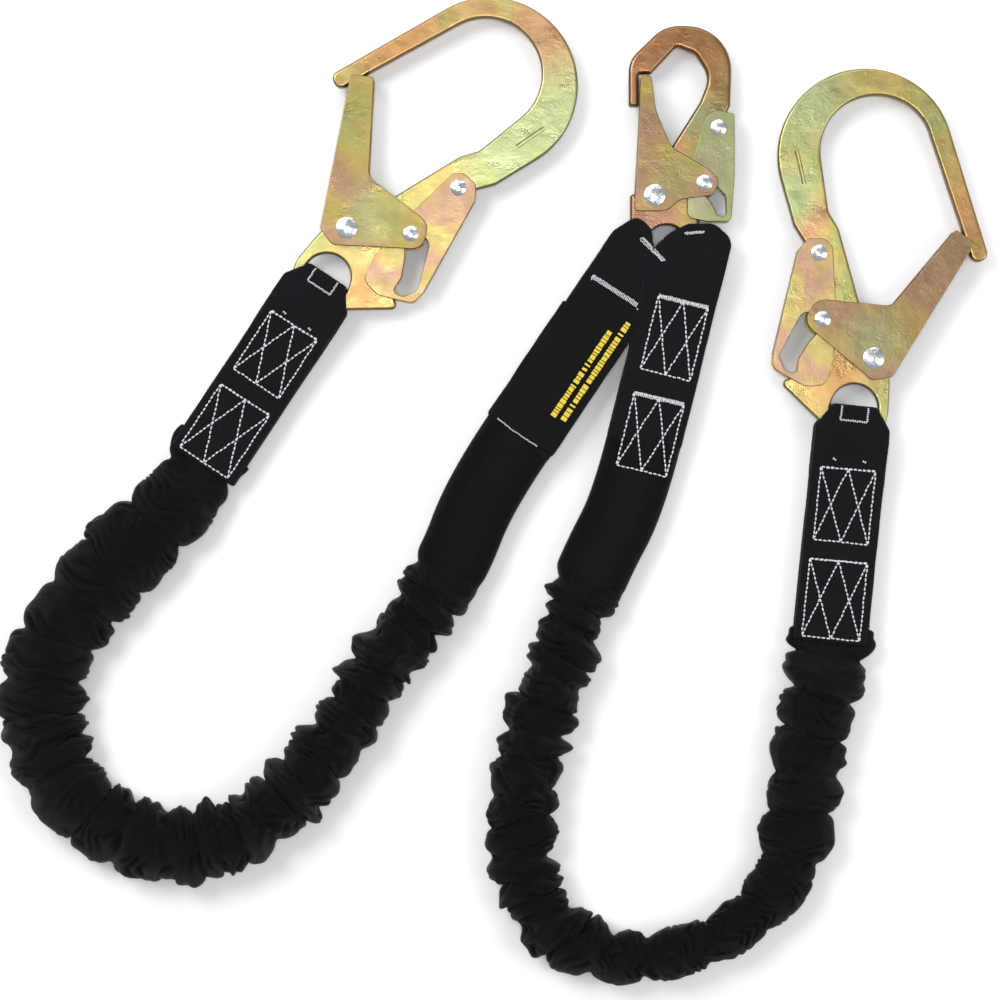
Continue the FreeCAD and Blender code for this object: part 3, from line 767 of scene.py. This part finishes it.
def add_strap(name, start, end, material, seed):
    """A sewn webbing end: the CAD node's own shape, with its edges softened, its sides cut into
    layers, and the small rises and dips of real webbing. Returns it."""
    source = linked(name + "_source", bpy.data.objects[name].data.copy())
    remesh = source.modifiers.new("Voxels", "REMESH")
    remesh.mode = "VOXEL"
    remesh.voxel_size = STRAP_VOXEL
    smooth = source.modifiers.new("Soften", "SMOOTH")
    smooth.iterations = STRAP_SOFTEN
    strap = finished(source, name + "_webbing")
    start = Vector((start[0], start[1], 0))
    along = (Vector((end[0], end[1], 0)) - start).normalized()
    side = Vector((-along.y, along.x, 0))
    data = strap.data
    count = len(data.vertices)
    normals = np.empty(count * 3)
    data.vertices.foreach_get("normal", normals)
    normals = normals.reshape(-1, 3)
    points = np.empty(count * 3)
    data.vertices.foreach_get("co", points)
    points = points.reshape(-1, 3)
    moved = points.copy()
    for index, point in enumerate(points):
        spot = Vector(point)
        reach = (spot - start).dot(along)
        across = (spot - start).dot(side)
        up = abs(normals[index][2])
        swell = noise.noise(Vector((reach * 55, across * 40, seed))) * STRAP_SWELL
        swell += noise.noise(Vector((reach * 170, across * 130, seed + 5))) * 0.25 * STRAP_SWELL
        layers = math.cos(2 * math.pi * (point[2] - MID) / LAYER_PITCH) * LAYER_DEPTH
        moved[index] += normals[index] * (swell * (0.35 + 0.65 * up) + layers * (1 - up))
    moved[:, 2] = np.maximum(moved[:, 2], TABLE_GAP)
    data.vertices.foreach_set("co", moved.ravel())
    data.update()
    strap_uv(data, start, along)
    strap.data.materials.clear()
    strap.data.materials.append(material)
    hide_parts(name)
    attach(strap, "lanyard")
    return strap


def lap_over(strap):
    """Draws the edge of a strap over the one beside it, along the lap line."""
    first, last = (Vector((*point, 0)) for point in LAP_LINE)
    run = (last - first).normalized()
    away = Vector((run.y, -run.x, 0))
    for vertex in strap.data.vertices:
        spot = vertex.co - first
        spot.z = 0
        near = spot.dot(away)
        at = spot.dot(run)
        if near < LAP_REACH and vertex.co.z > MID:
            fade = smoothstep(at / LAP_FADE + 1)
            fade *= smoothstep(((last - first).length - at) / LAP_FADE)
            vertex.co -= away * (LAP_PUSH * fade * (1 - max(near, 0) / LAP_REACH))
    strap.data.update()


# ---- stitches ----
def surface_tree(pieces):
    """A search tree over the faces of several pieces."""
    points, faces = [], []
    for piece in pieces:
        base = len(points)
        points += [v.co.copy() for v in piece.data.vertices]
        faces += [[base + v for v in p.vertices] for p in piece.data.polygons]
    return BVHTree.FromPolygons(points, faces)


def stitch_runs(corners, pitch):
    """Each stitch along a chain of corners, as its two ends."""
    ends = []
    for first, second in zip(corners, corners[1:]):
        first, second = Vector((*first, 0)), Vector((*second, 0))
        run = second - first
        count = max(1, round(run.length / pitch))
        gap = (1 - STITCH_COVER) / 2
        for i in range(count):
            ends.append((first + run * ((i + gap) / count), first + run * ((i + 1 - gap) / count)))
    return ends


def stitch_object(name, chains, pieces, material, radius, dice, both=True,
                  pitch=STITCH_PITCH):
    """Sewing stitches laid on the surface of the pieces, above and below, as small capsules that
    sink in at their ends."""
    tree = surface_tree(pieces)
    points, faces = [], []
    sides = STITCH_SIDES
    for chain in chains:
        for first, second in stitch_runs(chain, pitch):
            for way in ((1, -1) if both else (1,)):
                spots = []
                for share, _, _ in STITCH_SHAPE:
                    place = first.lerp(second, share)
                    origin = Vector((place.x, place.y, 0.04 * way + MID))
                    hit = tree.ray_cast(origin, Vector((0, 0, -way)))[0]
                    if hit is None:
                        break
                    spots.append(hit)
                if len(spots) < len(STITCH_SHAPE):
                    continue
                run = (spots[-1] - spots[0]).normalized()
                side = Vector((-run.y, run.x, 0))
                wobble = side * dice.uniform(-STITCH_WOBBLE, STITCH_WOBBLE)
                side.normalize()
                base = len(points)
                for spot, (_, swell, sink) in zip(spots, STITCH_SHAPE):
                    middle = spot + wobble + Vector((0, 0, way * sink * radius))
                    for k in range(sides):
                        turn = 2 * math.pi * k / sides
                        rise = math.sin(turn) * radius * swell * STITCH_FLAT
                        points.append(middle + side * math.cos(turn) * radius * swell
                                      + Vector((0, 0, rise)))
                faces += tube_faces(base, len(STITCH_SHAPE), sides)
    data = mesh_from(name, points, faces)
    shade_smooth(data)
    made = linked(name, data)
    data.materials.append(material)
    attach(made, "lanyard")
    return made


def framed(start, along):
    """Turns (distance along, distance across) from a point into the frame's x and y."""
    side = Vector((-along.y, along.x))
    return lambda t, c: tuple(Vector(start) + along * t + side * c)


def cross_box(place, near, far, half, offset=0.0):
    """A sewn box with two crosses side by side: chains of corners."""
    a, b, c = (place(near, across + offset) for across in (-half, 0, half))
    d, e, f = (place(far, across + offset) for across in (-half, 0, half))
    return [[a, c, f, d, a], [a, e, c], [d, b, f]]


# ---- the label ----
def dropped(tree, place):
    """Where a point dropped from above lands."""
    return tree.ray_cast(Vector((place.x, place.y, SKY)), Vector((0, 0, -1)))[0]


def mark_grid(tree, corner, run, rise, points, faces):
    """One printed mark: a thin raised patch that follows the cloth."""
    base = len(points)
    for level in (MARK_TOP, MARK_BOTTOM):
        for i in range(3):
            for k in range(3):
                place = corner + run * (i / 2) + rise * (k / 2 - 0.5)
                place.z = dropped(tree, place).z + level
                points.append(place)
    for i in range(2):
        for k in range(2):
            a = base + i * 3 + k
            faces.append((a, a + 3, a + 4, a + 1))
            faces.append((a + 9, a + 10, a + 13, a + 12))
    ring = [0, 1, 2, 5, 8, 7, 6, 3]
    for a, b in zip(ring, ring[1:] + ring[:1]):
        faces.append((base + a, base + b, base + b + 9, base + a + 9))


def add_label(webbing, material, ink):
    """A smooth cloth sleeve on the left leg, with a flap up to its top seam and two rows of plain
    printed marks."""
    top, bottom = Vector((*LABEL_TOP, MID)), Vector((*LABEL_END, MID))
    along = (bottom - top).normalized()
    side = Vector((-along.y, along.x, 0))
    length = (bottom - top).length
    angle = 2 * math.pi * np.arange(RING_POINTS) / RING_POINTS
    across, up = superellipse(angle, LABEL_SQUARE)
    rings, flat_rings = [], []
    count = int(length / LABEL_STEP)
    for i in range(count + 1):
        t = length * i / count
        hem = i in (0, count)
        snug = 1 - HEM_THIN * hem
        ripple = np.array([noise.noise(Vector((t * 60, 2 * a, 2 * b + 40)))
                           for a, b in zip(np.cos(angle), np.sin(angle))]) * LABEL_RIPPLE
        wide = LABEL_HALF - HEM_NARROW * hem + ripple
        high = LABEL_THIN * snug + ripple
        place = np.array(top + along * t)
        rings.append(place + np.array(side) * (wide * across)[:, None]
                     + np.array((0, 0, 1)) * (high * up)[:, None])
        flat_rings.append(np.stack([LABEL_HALF * across, np.full(RING_POINTS, t),
                                    LABEL_THIN * up], axis=1))
    data = tube_mesh("label_mesh", np.array(rings), np.array(flat_rings))
    sleeve = linked("label_sleeve_cloth", data)
    shade_smooth(data)
    data.materials.append(material)
    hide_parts("label_sleeve")
    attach(sleeve, "lanyard")

    tree = surface_tree([webbing, sleeve])
    points, faces = [], []
    for i in range(FLAP_ROWS + 1):
        t = -FLAP_REACH + (FLAP_REACH + FLAP_LAP) * i / FLAP_ROWS
        for k in range(FLAP_COLUMNS + 1):
            c = (2 * k / FLAP_COLUMNS - 1) * (LABEL_HALF - FLAP_INSET)
            place = top + along * t + side * c
            hit = dropped(tree, place)
            height = hit.z if hit else MID + LABEL_THIN - 0.001
            place.z = max(height, MID + 0.003) + FLAP_CLEAR
            points.append(place)
    next_row = FLAP_COLUMNS + 1
    for i in range(FLAP_ROWS):
        for k in range(FLAP_COLUMNS):
            a = i * next_row + k
            faces.append((a, a + 1, a + next_row + 1, a + next_row))
    data = mesh_from("label_flap_mesh", points, faces)
    strap_uv(data, top, along)
    flap = linked("label_flap_sheet", data)
    flap.modifiers.new("Thick", "SOLIDIFY").thickness = -FLAP_THICK
    flap = finished(flap, "label_flap")
    flap.data.materials.append(material)
    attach(flap, "lanyard")

    tree = surface_tree([sleeve, flap])
    dice = random.Random(11)
    points, faces = [], []
    for offset, t, last in MARK_ROWS:
        while t < last:
            size = dice.choice(MARK_LENGTHS)
            tall = MARK_TALL * dice.choice((1.0, 1.0, 0.86))
            mark_grid(tree, top + along * t + side * offset, along * size, side * tall,
                      points, faces)
            t += size + (WORD_GAP if dice.random() < 0.14 else MARK_GAP)
    data = mesh_from("label_marks_mesh", points, faces)
    marks = linked("label_marks", data)
    data.materials.append(ink)
    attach(marks, "lanyard")
    return sleeve, flap


def direction(start, end):
    """Unit vector from one point to another, seen from above."""
    return (Vector(end[:2]) - Vector(start[:2])).normalized()


def add_stitches():
    """All the white thread: sewn boxes, seams round the eyes, tacks and the label's seams."""
    dice = random.Random(3)
    hooks = (
        ("right_hook", RIGHT_EYE, RIGHT_HOOK_END, [RIGHT_HOOK, RIGHT_JACKET],
         (0.0372, 0.0814, 0.0165), (0.0930, 0.1400, 0.0175)),
        ("left_hook", LEFT_EYE, LEFT_HOOK_END, [LEFT_HOOK, LEFT_JACKET],
         (0.0353, 0.0772, 0.0165), (0.0890, 0.1345, 0.0175)),
    )
    for name, eye, end, pieces, first, second in hooks:
        place = framed(eye[:2], direction(eye, end))
        chains = []
        for near, far, half in (first, second):
            chains += cross_box(place, near, far, half)
            chains.append([place(near + 0.0004, -half), place(near - 0.0004, half)])
        stitch_object(name + "_box_stitches", chains, pieces, THREAD, STITCH_RADIUS, dice)
        window = [[place(-0.0008, -0.008), place(0.008, -0.008), place(0.008, 0.008),
                   place(-0.0008, 0.008)]]
        window += [[place(0.0315, c - 0.0012), place(0.0325, c + 0.0012)]
                   for c in (-0.009, 0.009)]
        stitch_object(name + "_eye_stitches", window, pieces, THREAD, STITCH_RADIUS * 1.3, dice,
                      pitch=TACK_PITCH)
    up = Vector((0.242, 0.970))
    place = framed(RIGHT_TOP_END, up)
    chains, doubled = [], []
    for middle, tall in ((0.0664, 0.0455), (0.0064, 0.0450)):
        near, far = middle - tall / 2, middle + tall / 2
        chains += cross_box(place, near, far, 0.0155, offset=-0.00265)
        doubled += [[place(far + shift, -0.01815), place(far + shift - 0.0004, 0.01285)]
                    for shift in (-0.0007, 0.0001, 0.0009)]
    stitch_object("harness_box_stitches", chains, [RIGHT_TOP, RIGHT_JACKET], THREAD,
                  STITCH_RADIUS, dice)
    doubled += [
        [(0.0006, -0.0143), (0.0018, -0.0130), (0.0138, -0.0270), (0.0158, -0.0264)],
        [(0.0008, -0.0146), (0.0142, -0.0272)], [(0.0021, -0.0127), (0.0150, -0.0262)],
        [(0.0272, -0.0102), (0.0396, -0.0093)], [(0.0276, -0.0109), (0.0392, -0.0100)],
    ]
    stitch_object("harness_tacks", doubled, [LEFT_TOP, RIGHT_TOP], THREAD,
                  STITCH_RADIUS * 1.1, dice, pitch=TACK_PITCH)
    seams = [
        [(-0.0290, -0.0385), (-0.0276, -0.0354), (0.0005, -0.0534), (-0.0012, -0.0566)],
        [(-0.0284, -0.0370), (-0.0004, -0.0552)], [(-0.0280, -0.0362), (0.0000, -0.0543)],
        [(-0.0855, -0.1218), (-0.0770, -0.1286), (-0.0614, -0.1390)],
    ]
    stitch_object("label_seams", seams, [LEFT_TOP, SLEEVE, FLAP, LEFT_JACKET], THREAD,
                  STITCH_RADIUS, dice, both=False, pitch=TACK_PITCH)


# ---- the metal ----
def finish_metal():
    """Gives every hook part its plating. The colours drift from green to gold to pink."""
    gold, green = (0.60, 0.47, 0.17), (0.43, 0.47, 0.19)
    pink, rose = (0.60, 0.34, 0.20), (0.52, 0.33, 0.24)
    # Painted shade: the dark colours given to the plating's side faces.
    side_shade_brown, side_shade_olive = (0.15, 0.085, 0.035), (0.17, 0.13, 0.05)
    mint, copper = (0.46, 0.55, 0.30), (0.55, 0.29, 0.13)
    spots = {
        "right_hook_body": [
            ((0.198, 0.000), 0.060, copper), ((0.150, 0.088), 0.035, gold),
            ((0.100, 0.070), 0.035, mint), ((0.092, 0.010), 0.030, mint),
            ((0.118, -0.095), 0.040, copper)],
        "left_hook_body": [
            ((-0.150, 0.110), 0.060, copper), ((-0.065, 0.105), 0.035, pink),
            ((-0.045, 0.060), 0.040, mint), ((-0.080, 0.040), 0.035, mint),
            ((-0.170, -0.050), 0.042, copper)],
        "harness_hook_body": [((0.030, 0.100), 0.050, copper), ((0.036, 0.062), 0.022, mint)],
        "right_hook_gate": [((0.140, -0.075), 0.026, mint), ((0.180, -0.030), 0.024, rose)],
        "left_hook_gate": [((-0.160, 0.000), 0.028, mint), ((-0.178, 0.060), 0.020, green)],
        "harness_hook_gate": [((0.022, 0.022), 0.020, green), ((0.005, 0.060), 0.018, rose)],
    }
    forging = [(0.28, pink), (0.40, gold), (0.52, green), (0.62, gold), (0.74, pink)]
    sheet = [(0.26, green), (0.42, gold), (0.54, rose), (0.64, gold), (0.78, green)]
    snap = [(0.28, rose), (0.44, pink), (0.56, gold), (0.74, rose)]
    lever = [(0.30, (0.44, 0.45, 0.33)), (0.50, green), (0.70, (0.50, 0.42, 0.30))]
    steel = zinc_material("spring_steel", (0.42, 0.41, 0.38), 0.28)
    zinc = zinc_material("rivet_zinc", (0.72, 0.75, 0.78), 0.20)
    # Painted shade: factors that darken the plating part by part, the gates and the snap hook
    # most, for the shade and dimmer reflections those parts show.
    forging_painted_shade, snap_painted_shade = (0.88, 0.86, 0.80), (0.56, 0.52, 0.50)
    lever_painted_shade, snap_lever_painted_shade = (0.80, 0.76, 0.76), (0.62, 0.62, 0.66)
    gate_painted_shade = (0.54, 0.52, 0.44)
    for offset, hook in enumerate(("right_hook", "left_hook", "harness_hook")):
        harness = hook == "harness_hook"
        looks = {
            "lever": plated_material(
                hook + "_lever_sheet", lever if harness else sheet, side_shade_olive, 5.1 + offset, 0.36,
                (), snap_lever_painted_shade if harness else lever_painted_shade),
            "body": plated_material(
                hook + "_forging", snap if harness else forging, side_shade_brown, 3.7 * offset, 0.30,
                spots[hook + "_body"], snap_painted_shade if harness else forging_painted_shade),
            "gate": plated_material(
                hook + "_gate_sheet", sheet, side_shade_olive, 1.3 + offset, 0.34,
                spots[hook + "_gate"], gate_painted_shade),
            "gate_rivet": zinc, "catch_rivet": zinc, "lever_rivet": zinc,
            "gate_spring": steel, "lever_spring": steel,
        }
        for part, material in looks.items():
            slots = bpy.data.objects[hook + "_" + part].data.materials
            for slot in range(len(slots)):
                slots[slot] = material


# ---- the lanyard ----
add_camera()
JACKET_CLOTH = woven_material("jacket_cloth", (0.0018, 0.0018, 0.0026), 0.0016, 0.0011, 0.0002,
                              0.34, 0.03)
WEBBING = woven_material("webbing", (0.0040, 0.0040, 0.0055), 0.0026, 0.0017, 0.0005, 0.66, 0.04)
LABEL = woven_material("label_cloth", (0.0035, 0.0035, 0.0035), 0.0006, 0.0006, 0.0001, 0.5, 0.02)
LABEL_INK = thread_material("label_ink", (0.75, 0.56, 0.04))
THREAD = thread_material("white_thread", (0.68, 0.68, 0.70))
LEFT_JACKET = add_jacket(
    "left_jacket", ["left_leg_jacket", "left_leg_shock_core", "left_leg_elastic_band"],
    LEFT_ROUTE, LEFT_WIDTHS, LEFT_PLEATS, 5, JACKET_CLOTH)
RIGHT_JACKET = add_jacket(
    "right_jacket", ["right_leg_jacket", "right_leg_shock_core", "right_leg_elastic_band"],
    RIGHT_ROUTE, RIGHT_WIDTHS, RIGHT_PLEATS, 17, JACKET_CLOTH)

LEFT_TOP = add_strap("left_leg_harness_loop", HARNESS_EYE, LEFT_TOP_END, WEBBING, 1.5)
RIGHT_TOP = add_strap("right_leg_harness_loop", HARNESS_EYE, RIGHT_TOP_END, WEBBING, 4.5)
LEFT_HOOK = add_strap("left_leg_hook_loop", LEFT_EYE, LEFT_HOOK_END, WEBBING, 7.5)
RIGHT_HOOK = add_strap("right_leg_hook_loop", RIGHT_EYE, RIGHT_HOOK_END, WEBBING, 10.5)
lap_over(RIGHT_TOP)
SLEEVE, FLAP = add_label(LEFT_TOP, LABEL, LABEL_INK)

add_stitches()
finish_metal()
add_studio()
